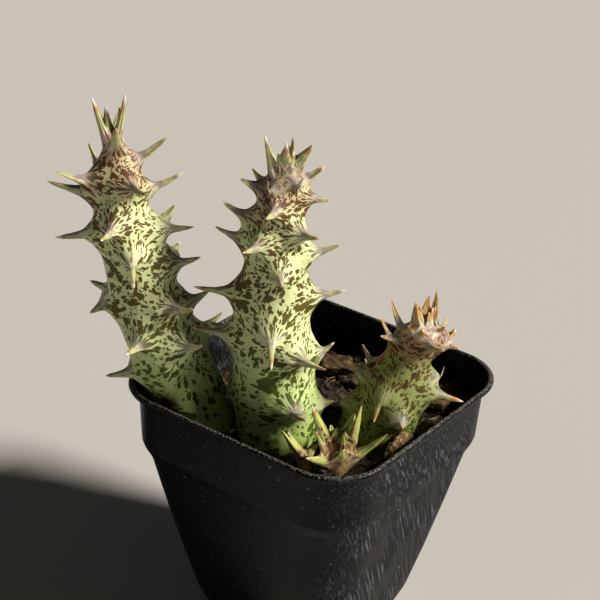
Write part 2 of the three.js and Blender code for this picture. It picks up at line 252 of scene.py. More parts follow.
def black_pot_plastic():
    """Black polypropylene, thin and moulded: near black with a dull gloss. Handling has left fine
    scratches, the side facing the key is painted paler with dust and painted light, and the lip is rubbed
    pale."""
    material, shader, add = new_material("black_pot_polypropylene", 0.45, 1.49, Specular_IOR_Level=0.1)
    place = add("ShaderNodeTexCoord").outputs["Object"]
    height = add("ShaderNodeSeparateXYZ", {0: place}).outputs["Z"]
    facing_x = add("ShaderNodeSeparateXYZ", {0: add("ShaderNodeNewGeometry").outputs["Normal"]})

    cloud = add("ShaderNodeTexNoise", {"Vector": place, "Scale": per_mm(14), "Detail": 6.0})
    # Painted light, partly real dust: sides turned towards +X, where the key lamp shines, turn paler grey in
    # patches.
    dusty_lit_side = add("ShaderNodeMapRange", {"Value": facing_x, "From Min": 0.25, "From Max": 0.95})
    patchy = add("ShaderNodeMapRange", {"Value": cloud, "From Min": 0.42, "From Max": 0.64, "To Min": 0.1})
    dust_and_painted_light = add("ShaderNodeMath", {0: dusty_lit_side, 1: patchy}, operation="MULTIPLY")

    # Scratches: a noise of 0.4 mm drawn out 44 times, to hairlines 10 to 20 mm long. They slant across
    # the sides that face X and follow their taper, and they show only where the dust and painted light lie.
    slant, taper, draw_out = 0.5, 0.23, 44.0
    slanted = add(
        "ShaderNodeMapping",
        {"Vector": place, "Rotation": (slant, taper, 0.0), "Scale": (1.0, 1.0, draw_out)},
        vector_type="TEXTURE",
    )
    hairs = add("ShaderNodeTexNoise", {"Vector": slanted, "Scale": per_mm(0.42), "Detail": 5.0})
    scratch = add("ShaderNodeMapRange", {"Value": hairs, "From Min": 0.52, "From Max": 0.76, "To Max": 0.68})
    scratched = add("ShaderNodeMath", {0: scratch, 1: dust_and_painted_light}, operation="MULTIPLY")

    # Specks: soil and lime dried on, up to 0.6 mm across, in four of ten cells of 2.6 mm.
    cells = add("ShaderNodeTexVoronoi", {"Vector": place, "Scale": per_mm(2.6)})
    luck = add("ShaderNodeSeparateXYZ", {0: cells.outputs["Color"]})
    speck_size = add("ShaderNodeMapRange", {"Value": luck, "From Min": 0.6, "To Max": 0.12})
    specks = add("ShaderNodeMath", {0: cells, 1: speck_size}, operation="LESS_THAN")

    # The rubbed lip is the last 0.6 mm of height and the rubbed foot the lowest 9, broken up by a noise.
    rub_noise = add("ShaderNodeTexNoise", {"Vector": place, "Scale": per_mm(0.5), "Detail": 8.0})
    start, end = (pot_height - 0.6) * MM, (pot_height - 0.1) * MM
    lip = add("ShaderNodeMapRange", {"Value": height, "From Min": start, "From Max": end, "To Max": 0.2})
    foot = add("ShaderNodeMapRange", {"Value": height, "From Min": 9 * MM, "From Max": MM, "To Max": 0.17})
    rub_reach = add("ShaderNodeMath", {0: lip, 1: foot}, operation="MAXIMUM")
    rub = add("ShaderNodeMath", {0: rub_noise, 1: rub_reach}, operation="ADD")
    rubbed = add("ShaderNodeMapRange", {"Value": rub, "From Min": 0.62, "From Max": 0.8, "To Max": 0.7})

    # Bare plastic under the dust and the painted light of the side facing the key, then the pale marks on
    # it.
    seen = add("ShaderNodeMix", {0: dust_and_painted_light, 6: colour("#040404"), 7: colour("#1a1d1f")}, data_type="RGBA")
    for marks, code in ((scratched, "#83868a"), (specks, "#6e685b"), (rubbed, "#74726d")):
        seen = add("ShaderNodeMix", {0: marks, 6: seen.outputs[2], 7: colour(code)}, data_type="RGBA")
    gloss = add("ShaderNodeMapRange", {"Value": dust_and_painted_light, "To Min": 0.36, "To Max": 0.78})

    # Moulded film ripples by a tenth of a millimetre over a few millimetres.
    ripple = add("ShaderNodeTexNoise", {"Vector": place, "Scale": per_mm(7), "Detail": 3.0})
    relief = add("ShaderNodeMath", {0: ripple, 1: 2.0, 2: scratch}, operation="MULTIPLY_ADD")
    bump = add("ShaderNodeBump", {"Strength": 0.35, "Distance": 0.12 * MM, "Height": relief})
    feed(shader, {"Base Color": seen.outputs[2], "Roughness": gloss, "Normal": bump})
    return material


def spotted_skin(name, low, high, spot_low, spot_high, cover, pink, flush, points):
    """Succulent epidermis: a waxy skin over green flesh, which lets a little light in. Its blotches are
    drawn out towards the nearest tooth, so they follow attributes that mark_skin writes. cover is
    how much of the skin is spotted, pink is the crown's colour and flush the share of the height
    where it is reached, and points are the colours of a tooth from its foot to its end."""
    material, shader, add = new_material(
        name, 0.5, 1.42, Specular_IOR_Level=0.26, Subsurface_Weight=0.1,
        Subsurface_Radius=(0.9, 1.0, 0.35), Subsurface_Scale=1.2 * MM,
    )
    place = add("ShaderNodeTexCoord").outputs["Object"]
    near = add("ShaderNodeAttribute", attribute_name="spots_near").outputs["Vector"]
    beyond = add("ShaderNodeAttribute", attribute_name="spots_next").outputs["Vector"]
    share, height, tip, bloom, edge, scar = (
        add("ShaderNodeAttribute", attribute_name=field).outputs["Fac"]
        for field in ("near_share", "up_stem", "tip", "bloom", "edge", "scar")
    )

    # Spots gather in loose patches about 8 mm across, and the small ones thicken towards the crown.
    patches = add("ShaderNodeTexNoise", {"Vector": place, "Scale": per_mm(8), "Detail": 2.0})
    gathered = add(
        "ShaderNodeMapRange",
        {"Value": patches, "From Min": 0.3, "From Max": 0.7, "To Min": -0.36, "To Max": 0.32},
    )
    finer = add(
        "ShaderNodeMapRange",
        {"Value": height, "From Min": 0.1, "From Max": 0.9, "To Min": -0.08, "To Max": 0.27},
    )
    # Spots of two sizes, one to a cell of 1.15 mm or 0.66 mm. The attributes are already in
    # millimetres. Each cell's own random value says how big its spot is.
    sheets = []
    for cells, biggest, more in ((1.15, 0.72, gathered), (0.66, 0.56, finer)):
        pair = []
        for field in (near, beyond):
            wobble = add("ShaderNodeTexNoise", {"Vector": field, "Scale": 1.1, "Detail": 2.0})
            shift = {0: wobble.outputs["Color"], 1: (1.1, 1.1, 1.1), 2: field}
            warped = add("ShaderNodeVectorMath", shift, operation="MULTIPLY_ADD")
            grid = {"Vector": warped, "Scale": 1 / cells}
            spot = add("ShaderNodeTexVoronoi", grid, voronoi_dimensions="2D")
            luck = add("ShaderNodeSeparateXYZ", {0: spot.outputs["Color"]})
            grown = add("ShaderNodeMath", {0: luck, 1: more}, operation="ADD")
            size = add("ShaderNodeMapRange", {"Value": grown, "From Min": 0.41 - cover, "To Max": biggest})
            pair.append(add("ShaderNodeMath", {0: size, 1: spot}, operation="SUBTRACT"))
        both = add("ShaderNodeMix", {0: share, 2: pair[1], 3: pair[0]}, data_type="FLOAT")
        edged = {"Value": both, "From Min": -0.03, "From Max": 0.06}
        sheets.append(add("ShaderNodeMapRange", edged, interpolation_type="SMOOTHSTEP"))
    spots = add("ShaderNodeMath", {0: sheets[0], 1: sheets[1]}, operation="MAXIMUM")
    spotted = add("ShaderNodeMath", {0: spots, 1: 0.97}, operation="MULTIPLY")

    # The flesh and the spots both change colour on the way up, a little unevenly.
    flesh_noise = add("ShaderNodeTexNoise", {"Vector": place, "Scale": per_mm(5), "Detail": 3.0})
    uneven = add("ShaderNodeMath", {0: flesh_noise, 1: 0.34, 2: -0.17}, operation="MULTIPLY_ADD")
    up = add("ShaderNodeMath", {0: height, 1: uneven}, operation="ADD")
    greens = [(0.0, low), (0.38, high), (flush - 0.2, high), (flush, pink)]
    flesh = add("ShaderNodeValToRGB", {"Fac": up}, greens)
    spot = add("ShaderNodeValToRGB", {"Fac": up}, [(0.08, spot_low), (0.45, spot_high), (0.92, "#4f2c12")])

    # Old wounds have healed over as cork: a dark middle with an orange rim.
    wound = add("ShaderNodeMath", {0: flesh_noise, 1: 0.7, 2: scar}, operation="MULTIPLY_ADD")
    rim = {"Value": wound, "From Min": 0.72, "From Max": 0.86}
    corked = add("ShaderNodeMapRange", rim, interpolation_type="SMOOTHSTEP")
    browns = [(0.78, "#b0713c"), (0.95, "#84522f"), (1.0, "#33241b")]
    cork = add("ShaderNodeValToRGB", {"Fac": wound}, browns)
    # The points are hard and dry: straw, then pinkish tan, then a bleached end.
    tip_uneven = add("ShaderNodeMath", {0: uneven, 1: 0.8, 2: tip}, operation="MULTIPLY_ADD")
    point = add("ShaderNodeValToRGB", {"Fac": tip_uneven}, points)
    drying = {"Value": tip, "From Min": 0.1, "From Max": 0.34}
    pointed = add("ShaderNodeMapRange", drying, interpolation_type="SMOOTHSTEP")

    # A lilac wax bloom lies on the upper side of each tooth's foot, and its sides have dried pale.
    seen = add("ShaderNodeMix", {0: spotted, 6: flesh, 7: spot}, data_type="RGBA")
    layers = ((bloom, colour("#9a8f8c")), (edge, colour("#d9d8c0")), (corked, cork), (pointed, point))
    for where, layer in layers:
        seen = add("ShaderNodeMix", {0: where, 6: seen.outputs[2], 7: layer}, data_type="RGBA")
    gloss = add("ShaderNodeMapRange", {"Value": spotted, "To Min": 0.46, "To Max": 0.6})
    # Cells and fine creases: 0.9 mm grain, and the spots stand a hair proud.
    grain = add("ShaderNodeTexNoise", {"Vector": place, "Scale": per_mm(0.9), "Detail": 4.0})
    relief = add("ShaderNodeMath", {0: spotted, 1: 0.35, 2: grain}, operation="MULTIPLY_ADD")
    bump = add("ShaderNodeBump", {"Strength": 0.4, "Distance": 0.15 * MM, "Height": relief})
    feed(shader, {"Base Color": seen.outputs[2], "Roughness": gloss, "Normal": bump})
    return material


def rough_matter(name, stops, grain, depth, roughness=0.95, fibre=(1.0, 1.0, 1.0)):
    """Dull, open matter such as peat, bark or dried root: no gloss, and a colour that changes from
    grain to grain. fibre stretches the grain along an axis."""
    material, shader, add = new_material(name, roughness, 1.5, Specular_IOR_Level=0.25)
    place = add("ShaderNodeTexCoord").outputs["Object"]
    along = add("ShaderNodeMapping", {"Vector": place, "Scale": fibre})
    coarse = add("ShaderNodeTexNoise", {"Vector": along, "Scale": per_mm(grain), "Detail": 8.0})
    fine = add("ShaderNodeTexVoronoi", {"Vector": along, "Scale": per_mm(grain * 0.6)})
    blend = add("ShaderNodeMath", {0: fine, 1: 0.28, 2: coarse}, operation="MULTIPLY_ADD")
    matter = add("ShaderNodeValToRGB", {"Fac": blend}, stops)
    bump = add("ShaderNodeBump", {"Strength": 0.9, "Distance": depth * MM, "Height": blend})
    feed(shader, {"Base Color": matter, "Normal": bump})
    return material


# -------- pot


def nursery_pot():
    """The thin moulded pot: one wall taken up outside, over the lip and down inside. Each point of its
    profile is half the pot's width and the height."""
    foot_and_knee = [(20.6, 0.5), (21.6, 3.6), (23.0, 7.3)]
    body = [(25.7, 19), (28.4, 32), (31.2, 46.2)]
    step_and_collar = [(31.5, 47.2), (32.5, 49.6), (32.75, 50.6), (33.2, 63.0)]
    lip = [(33.5, 63.6), (34.2, 64.0), (34.75, 64.5), (35.0, 65.2), (34.85, 65.8), (34.5, 66.0)]
    lip_inside = [(34.05, 65.95), (33.85, 65.6), (33.2, 64.6), (32.2, 62.9)]
    wall_inside = [(31.6, 50.2), (30.5, 47.0), (24.7, 20), (22.0, 7.6), (20.2, 1.9), (19.4, 1.4)]
    bpy.ops.mesh.primitive_plane_add(size=2 * foot_half * MM, location=(0, 0, 0))
    pot = new_piece("nursery_pot_shell")
    edit(pot)
    bpy.ops.mesh.select_mode(type="VERT")
    bpy.ops.mesh.select_all(action="SELECT")
    bpy.ops.mesh.bevel(offset=pot_corner * MM, segments=14, affect="VERTICES")
    bpy.ops.mesh.select_mode(type="FACE")
    half, z = foot_half, 0.0
    for next_half, next_z in foot_and_knee + body + step_and_collar + lip + lip_inside + wall_inside:
        bpy.ops.mesh.extrude_region_move(TRANSFORM_OT_translate={"value": mm(0, 0, next_z - z)})
        step = (next_half - half) * MM
        mesh = bmesh.from_edit_mesh(pot.data)
        ring = [vertex for vertex in mesh.verts if vertex.select]
        for side_x, side_y in ((1, 1), (-1, 1), (-1, -1), (1, -1)):
            bpy.ops.mesh.select_mode(type="VERT")
            for vertex in mesh.verts:
                vertex.select_set(False)
            for vertex in ring:
                vertex.select_set(vertex.co.x * side_x > 0 and vertex.co.y * side_y > 0)
            mesh.select_flush_mode()
            bmesh.update_edit_mesh(pot.data)
            bpy.ops.transform.translate(value=(side_x * step, side_y * step, 0))
        for vertex in ring:
            vertex.select_set(True)
        mesh.select_flush_mode()
        bpy.ops.mesh.select_mode(type="FACE")
        bmesh.update_edit_mesh(pot.data)
        half, z = next_half, next_z
    set_place(pot)
    for i in range(4):
        compass = math.radians(45 + 90 * i)
        reach = drain_reach * math.sqrt(2)
        bpy.ops.mesh.primitive_cylinder_add(
            vertices=28,
            radius=drain_hole / 2 * MM,
            depth=8 * MM,
            location=mm(reach * math.cos(compass), reach * math.sin(compass), 0),
        )
        drill = new_piece("drill")
        modify(pot, "BOOLEAN", object=drill, operation="DIFFERENCE", solver="EXACT")
        bpy.data.objects.remove(drill)
    modify(pot, "BEVEL", width=0.25 * MM, segments=2, limit_method="ANGLE", angle_limit=math.radians(40))
    set_place(pot)
    smooth(pot, 50)
    return pot


# -------- stems


def foot_of(name):
    """Where a CAD stem stands: the middle of its lowest ring."""
    low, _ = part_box(name)
    places = [vertex.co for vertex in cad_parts[name].data.vertices if vertex.co.z < low.z + 0.4 * MM]
    return sum(places, Vector()) / len(places) / MM


def midline_at(stem, h):
    """The point of a stem's midline at a height over the soil. lean and bow are shares of the height."""
    share = min(1.0, max(0.0, h / stem["height"]))
    leant = 1 - (1 - share) ** stem["early"]
    bowed = math.sin(math.pi * share)
    shift = [stem["height"] * (stem["lean"][i] * leant + stem["bow"][i] * bowed) for i in (0, 1)]
    return Vector((stem["foot"].x + shift[0], stem["foot"].y + shift[1], soil_z + h))


def half_thickness(stem, h):
    """Half the stem's thickness: a rounded foot, a slight waist, a full body and a domed tip."""
    full = stem["thickness"] / 2
    waist = 1 - 0.06 * math.exp(-max(0.0, h) / 6)
    if h < 0:
        return full * waist * math.sqrt(max(0.0, 1 - min(1.0, -h / stem["buried"]) ** 2.4))
    share = min(1.0, h / stem["height"])
    return full * waist * (1 - stem["taper"] * share) * math.sqrt(max(0.0, 1 - share**4))


def skin_half(stem, h):
    """Half the thickness between the teeth. slim says how much of the CAD stem's is left on the way up."""
    shares, factors = zip(*stem["slim"])
    return half_thickness(stem, h) * float(np.interp(h / stem["height"], shares, factors))


def tooth_frame(stem, row):
    """A tooth's root on the skin, its length and its directions: sideways, out, across and over. The row
    gives its share of the stem's height, its compass, its length and how far it rises in degrees,
    then its thickness and its bend where they aren't the usual ones. Steep teeth make the crown."""
    steep = 40
    usual = (1.0, 0.08)
    share, compass, length, rise, thick, bend = row + usual[len(row) - 4 :]
    h = share * stem["height"]
    turn, tip_up = math.radians(compass), math.radians(rise)
    sideways = Vector((math.cos(turn), math.sin(turn), 0))
    out = sideways * math.cos(tip_up) + UP * math.sin(tip_up)
    across = UP.cross(sideways).normalized()
    over = out.cross(across).normalized()
    inner = min(h, stem["height"] - 0.5)
    reach = sideways * half_thickness(stem, inner) * math.cos(tip_up)
    root = midline_at(stem, inner) + reach
    root.z += h - inner
    start = midline_at(stem, inner) + reach * 0.92
    start.z += h - inner
    tip = start + out * length + over * (bend * length)
    return dict(
        root=root, tip=tip, sideways=sideways, out=out, across=across, over=over,
        length=length, thick=thick, bend=bend, crown=rise > steep,
    )


def grow_stem(name, stem):
    """A stem: rings taken up along its midline, a swelling drawn out under each tooth, then the
    tooth itself taken out of the swelling to its point."""
    spacing, total = stem["spacing"], stem["height"] + stem["buried"]
    count = round(total / spacing)
    heights = [-stem["buried"] + total * (i / count) for i in range(1, count)]
    dome = [stem["height"] - spacing * share for share in (0.5, 0.2, 0.04)]
    heights = [-stem["buried"] + spacing * share for share in (0.06, 0.3)] + heights + dome
    h = heights[0]
    centre, half = midline_at(stem, h), skin_half(stem, h)
    bpy.ops.mesh.primitive_circle_add(
        vertices=stem["sides"], radius=half * MM, fill_type="NGON", location=centre * MM
    )
    piece = new_piece(name)
    work_on(piece)
    bpy.ops.object.transform_apply(location=True, rotation=True, scale=True)
    edit(piece)
    bpy.ops.mesh.select_mode(type="FACE")
    bpy.ops.mesh.select_all(action="SELECT")
    for h in heights[1:]:
        next_centre, next_half = midline_at(stem, h), skin_half(stem, h)
        bpy.ops.mesh.extrude_region_move(TRANSFORM_OT_translate={"value": (next_centre - centre) * MM})
        size = next_half / half
        bpy.ops.transform.resize(value=(size, size, 1), center_override=next_centre * MM)
        centre, half = next_centre, next_half
    set_place(piece)
    modify(piece, "SUBSURF", levels=1, render_levels=1)
    edit(piece)

    teeth = [tooth_frame(stem, row) for row in stem["teeth"]]
    for tooth in teeth:
        size = tooth["thick"] * stem["swell"]
        short = max(0.0, (tooth["root"] - pick_nearest(piece, tooth["root"])).dot(tooth["sideways"]))
        lift = tooth["out"] if tooth["crown"] else tooth["sideways"]
        if tooth["crown"]:
            pull(lift * 0.8 * size, 3.6 * size)
            pull(lift * 1.0 * size, 3.0 * size, "SHARP")
        else:
            pull(lift * (1.6 * size + 0.45 * short), 6.6 * size)
            pull(lift * (1.8 * size + 0.45 * short), 4.4 * size, "SHARP")
            # Shoulders run from the tooth to both sides and fade out.
            for side in (-1, 1):
                pick_nearest(piece, tooth["root"] + tooth["across"] * side * 3.0 * size)
                pull(lift * 1.0 * size, 2.6 * size, "SHARP")
        tooth["size"] = size
        tooth["stout"] = stem.get("stout", 1.0)
        tooth["dry"] = chance.uniform(0.8, 1.2)
        tooth["petal"] = stem.get("petal", 3.0)
    for tooth in teeth:
        rise = 0.7 if tooth["crown"] else 3.0
        tooth["peak"] = pick_nearest(piece, tooth["root"] + tooth["sideways"] * rise * tooth["size"])
    for tooth in teeth:
        draw_out_tooth(piece, tooth)
    deselect_everything()
    modify(piece, "SUBSURF", levels=2, render_levels=2)
    roughen(piece, 0.4, 4.5, mid_level=0.5)
    roughen(piece, 0.12, 1.3, mid_level=0.5)
    set_place(piece)
    smooth(piece)
    mark_skin(piece, stem, teeth)
    return piece


def draw_out_tooth(piece, tooth):
    """Takes the faces round a tooth's peak out to its point in narrowing steps."""
    peak, across, over = tooth["peak"], tooth["across"], tooth["over"]
    broad = tooth["size"] * tooth["stout"]
    wide, tall = (tooth["petal"], 2.5) if tooth["crown"] else (3.0, 1.9)
    wide, tall, deep = wide * broad, tall * broad, 2.0 * broad

    def in_patch(p):
        spans = ((across, wide), (over, tall), (tooth["out"], deep))
        return sum(((p - peak).dot(axis) / span) ** 2 for axis, span in spans) < 1

    if not pick(piece, "FACE", in_patch):
        mesh = bmesh.from_edit_mesh(piece.data)
        nearest = min(mesh.faces, key=lambda face: (face.calc_center_median() / MM - peak).length)
        nearest.select_set(True)
        bmesh.update_edit_mesh(piece.data)
    here = picked_centre(piece) / MM
    way = tooth["tip"] - here
    arch = over * (tooth["bend"] * tooth["length"])
    straight = way - arch
    last = Vector()
    # How far along each step ends, and how much it narrows: hollow flanks, or straight ones at the crown.
    steps = ((0.12, 0.74), (0.3, 0.72), (0.54, 0.74), (0.8, 0.68), (1.0, 0.28))
    if tooth["crown"]:
        steps = ((0.14, 0.8), (0.36, 0.74), (0.6, 0.68), (0.84, 0.56), (1.0, 0.3))
    for along, size in steps:
        offset = straight * along + arch * along**2
        bpy.ops.mesh.extrude_region_move(TRANSFORM_OT_translate={"value": (offset - last) * MM})
        bpy.ops.transform.resize(value=(size, size, size), center_override=(here + offset) * MM)
        last = offset


def mark_skin(piece, stem, teeth):
    """Writes what the skin material follows. spots_near and spots_next hold places round the nearest
    and the next tooth, squeezed along the way to it so that spots on them come out long;
    near_share goes from one to the other; tip runs from a tooth's foot to its point, bloom lies
    over the foot, edge along its two sides, scar marks old wounds, and up_stem runs up the stem."""
    mesh = piece.data
    count = len(mesh.vertices)
    places = np.zeros(count * 3)
    mesh.vertices.foreach_get("co", places)
    places = places.reshape(-1, 3) / MM
    corner_vertex = np.zeros(len(mesh.loops), int)
    mesh.loops.foreach_get("vertex_index", corner_vertex)
    face_middle = np.zeros(len(mesh.polygons) * 3)
    mesh.polygons.foreach_get("center", face_middle)
    face_middle = face_middle.reshape(-1, 3) / MM
    face_sizes = np.zeros(len(mesh.polygons), int)
    mesh.polygons.foreach_get("loop_total", face_sizes)
    corner_face = np.repeat(np.arange(len(mesh.polygons)), face_sizes)
    peaks = np.array([tooth["root"] for tooth in teeth])
    apart = np.linalg.norm(face_middle[:, None, :] - peaks[None], axis=2)
    order = np.argsort(apart, axis=1)
    nearest, following = order[:, 0], order[:, 1]
    rows = np.arange(len(face_middle))
    lead = apart[rows, following] - apart[rows, nearest]
    share = 0.5 + 0.5 * np.clip(lead / 1.6, 0, 1)

    def round_tooth(which):
        index = which[corner_face]
        offset = places[corner_vertex] - peaks[index]
        across = np.array([tooth["across"] for tooth in teeth])[index]
        over = np.array([tooth["over"] for tooth in teeth])[index]
        turn = np.arctan2((offset * over).sum(1), (offset * across).sum(1))
        reach = np.linalg.norm(offset, axis=1)
        # The power makes spots 1.75 times as long as wide. Each tooth has its own part of the pattern.
        drawn_in = 5.0 * (reach / 5.0) ** 0.57
        along, beside = drawn_in * np.cos(turn), drawn_in * np.sin(turn)
        return np.stack([along + 13 * index, beside, 3.7 * index], axis=1)

    def write(name, kind, domain, values):
        attribute = mesh.attributes.new(name, kind, domain)
        field = "vector" if kind == "FLOAT_VECTOR" else "value"
        attribute.data.foreach_set(field, np.ascontiguousarray(values, np.float32).ravel())

    write("spots_near", "FLOAT_VECTOR", "CORNER", round_tooth(nearest))
    write("spots_next", "FLOAT_VECTOR", "CORNER", round_tooth(following))
    write("near_share", "FLOAT", "CORNER", share[corner_face])

    tip, bloom, edge, scar = (np.zeros(count) for _ in range(4))
    for tooth in teeth:
        root, end = np.array(tooth["peak"]), np.array(tooth["tip"])
        axis = end - root
        length = np.linalg.norm(axis)
        axis = axis / length
        offset = places - root
        along = offset @ axis
        beside = np.linalg.norm(offset - along[:, None] * axis, axis=1)
        breadth = np.interp(along / length, [-0.2, 0.2, 0.6, 1.05], [0.0, 2.2, 1.7, 1.3])
        inside = beside < breadth * max(0.7, tooth["size"])
        on_tooth = inside & (along > 0) & (along < length * 1.1)
        tip[on_tooth] = np.maximum(tip[on_tooth], np.clip(along[on_tooth] / length * tooth["dry"], 0, 1))
        over = offset @ np.array(tooth["over"])
        side = np.abs(offset @ np.array(tooth["across"]))
        spread = np.exp(-((side / 2.4) ** 2) - ((over - 1.1) / 1.5) ** 2 - ((along - 0.4) / 2.4) ** 2)
        bloom = np.maximum(bloom, spread * (over > -0.4) * (0.35 if tooth["crown"] else 1.0))
        ridge = np.exp(-((over / 0.5) ** 2) - ((along - 1.0) / 2.4) ** 2 - ((side - 1.7) / 1.7) ** 2)
        edge = np.maximum(edge, ridge * np.clip(side / 0.9, 0, 1))
    write("tip", "FLOAT", "POINT", tip)
    waxy = stem.get("waxy", 1.0)
    write("bloom", "FLOAT", "POINT", np.clip(bloom * 0.8 * waxy, 0, 1))
    write("edge", "FLOAT", "POINT", np.clip(edge * 0.8 * waxy, 0, 1))
    for share_up, compass, radius in stem.get("scars", ()):
        h = share_up * stem["height"]
        turn = math.radians(compass)
        middle = midline_at(stem, h) + Vector((math.cos(turn), math.sin(turn), 0)) * half_thickness(stem, h)
        apart = np.linalg.norm(places - np.array(middle), axis=1)
        scar = np.maximum(scar, np.exp(-((apart / radius) ** 2)))
    write("scar", "FLOAT", "POINT", scar)
    write("up_stem", "FLOAT", "POINT", np.clip((places[:, 2] - soil_z) / stem["height"], 0, 1))


# lean and bow are shares of the height towards +X and +Y, and slim is how much of the CAD stem's
# thickness is left at a share of the height. A scar has a share of the height, a compass and a radius,
# and petal is half a crown tooth's foot. tooth_frame says what a tooth's row holds.
stems = {
    "tall_left_stem": {
        "thickness": 19.2,
        "height": 70.0,
        "taper": 0.12,
        "lean": (-0.234, -0.171),
        "early": 1.8,
        "bow": (0, 0),
        "slim": [(0, 1.02), (0.35, 0.97), (0.5, 0.9), (0.7, 0.8), (0.85, 0.76), (1, 0.74)],
        "scars": [(0.1, 276, 2.6)],
        "petal": 4.2,
        "teeth": [
            # towards -X and -Y
            (0.17, 230, 8.5, -6),
            (0.41, 223, 6.5, -22),
            (0.67, 224, 9, -12),
            (0.81, 218, 10, 6),
            # towards -Y
            (0.33, 285, 7.5, 0),
            (0.63, 316, 9.5, -26),
            (0.73, 295, 8.5, -2),
            (0.87, 245, 9.5, 12),
            # towards +X
            (0.31, 347, 9, 20),
            (0.46, 350, 10, 10),
            (0.86, 340, 9.5, 2),
            # towards +X and +Y
            (0.44, 40, 7, 14),
            (0.57, 34, 7.5, 10),
            (0.7, 35, 8.5, -4),
            (0.83, 42, 9.5, 16),
            (0.93, 43, 10, 26, 0.8),
            # towards +Y and -X
            (0.3, 66, 8, 16),
            (0.57, 72, 5, 18),
            (0.7, 68, 6, 16),
            (0.23, 110, 7.5, 8),
            (0.49, 118, 8, 4),
            (0.77, 124, 8, 6),
            (0.36, 160, 8, 4),
            (0.44, 192, 7, -2),
            (0.61, 166, 8, 6),
            (0.87, 164, 8, 18),
            # the crown
            (0.99, 216, 9.5, 62, 0.8),
            (1, 190, 6.5, 72, 0.5),
            (1, 30, 9.5, 72, 0.6),
            (0.96, 318, 8, 52, 0.8),
            (0.99, 110, 6.5, 60, 0.6),
        ],
    },
    "tall_middle_stem": {
        "thickness": 20.6,
        "height": 68.0,
        "taper": 0.25,
        "lean": (-0.009, -0.006),
        "early": 1.0,
        "bow": (-0.026, -0.019),
        "slim": [(0, 1.02), (0.5, 0.96), (0.75, 0.8), (0.92, 0.68), (1, 0.66)],
        "teeth": [
            # towards -X and -Y
            (0.13, 210, 3.6, -24, 0.8),
            (0.37, 217, 10, 3),
            (0.53, 217, 10, 0),
            (0.72, 213, 7.5, 14),
            (0.82, 213, 7.5, 10),
            (0.91, 214, 6, 11, 0.8),
            # towards -Y and +X
            (0.44, 308, 10, -18, 1, -0.1),
            (0.65, 314, 8, 2),
            (0.75, 276, 7.5, -2),
            (0.87, 293, 8.5, 0),
            # towards +X
            (0.16, 331, 9, 8),
            (0.35, 346, 10.5, 3),
            (0.78, 347, 8, 8),
            # towards +X and +Y
            (0.12, 33, 4.5, 6, 0.8),
            (0.31, 37, 6.5, 22),
            (0.53, 36, 8.5, 6),
            (0.69, 35, 7.5, 10),
            (0.88, 33, 6, -8),
            # towards +Y and -X
            (0.21, 96, 7, 8),
            (0.44, 86, 8, 10),
            (0.6, 90, 7.5, 10),
            (0.81, 92, 7, 14),
            (0.32, 146, 8, 6),
            (0.56, 150, 8, 8),
            (0.74, 142, 7.5, 10),
            (0.18, 178, 6, -8),
            (0.35, 190, 8, -4),
            (0.91, 168, 6.5, 2, 0.8),
            # the crown
            (0.97, 214, 8, 60, 0.8),
            (0.99, 300, 5.5, 74, 0.5),
            (0.99, 60, 6, 76, 0.5),
            (0.97, 30, 7.5, 52, 0.8),
            (0.94, 36, 6.5, 26, 0.7),
            (0.94, 340, 5.5, 30, 0.6),
            (0.97, 120, 5, 50, 0.6),
            # short dry scales between them
            (0.98, 250, 3.6, 66, 0.45),
            (0.98, 10, 3.8, 70, 0.45),
            (0.99, 150, 3.4, 72, 0.45),
            (0.93, 270, 3.0, 30, 0.45),
        ],
    },
    "short_right_stem": {
        "thickness": 19.8,
        "height": 31.0,
        "taper": 0.2,
        "lean": (0.252, 0.184),
        "early": 1.0,
        "bow": (0, 0),
        "slim": [(0, 1.02), (0.2, 0.95), (0.5, 0.8), (0.65, 0.7), (0.85, 0.7), (1, 0.7)],
        "scars": [(0.7, 214, 2.6), (0.62, 222, 1.8)],
        "teeth": [
            (0.29, 215, 4.5, 10, 0.8),
            (0.52, 219, 6, 26),
            (0.9, 240, 5.5, -4),
            (0.42, 283, 6.5, -34, 0.8),
            (0.26, 320, 5, 10, 0.8),
            (0.39, 27, 8.5, -12),
            (0.9, 329, 8, 3),
            (0.55, 38, 3, 22, 0.6),
            (0.77, 36, 4.5, -6, 0.8),
            (0.84, 38, 4.5, 25, 0.7),
            (0.87, 74, 4.5, 16, 0.7),
            (0.29, 90, 6, 10),
            (0.61, 98, 6.5, 14),
            (0.35, 150, 6.5, 6),
            (0.52, 161, 7, 0),
            (0.71, 156, 7.5, 17, 0.8),
            (0.84, 153, 8.5, 21, 0.8),
            (0.97, 285, 9, 50, 0.7),
            (0.97, 20, 8.5, 74, 0.7),
            (0.9, 110, 7, 42, 0.7),
            (0.97, 200, 5, 70, 0.6),
            # short dry scales crowd the crown
            (0.98, 320, 4.0, 58, 0.5),
            (0.94, 268, 3.2, 34, 0.45),
            (0.99, 240, 3.6, 74, 0.45),
            (0.98, 350, 4.4, 66, 0.5),
            (0.93, 0, 3.6, 30, 0.5),
            (0.99, 60, 3.4, 76, 0.45),
            (0.96, 150, 3.6, 56, 0.45),
            (0.94, 305, 3.0, 26, 0.45),
        ],
    },
}
for name, stem in stems.items():
    stem.update(foot=foot_of(name), buried=12.0, sides=20, spacing=2.7, swell=1.0)

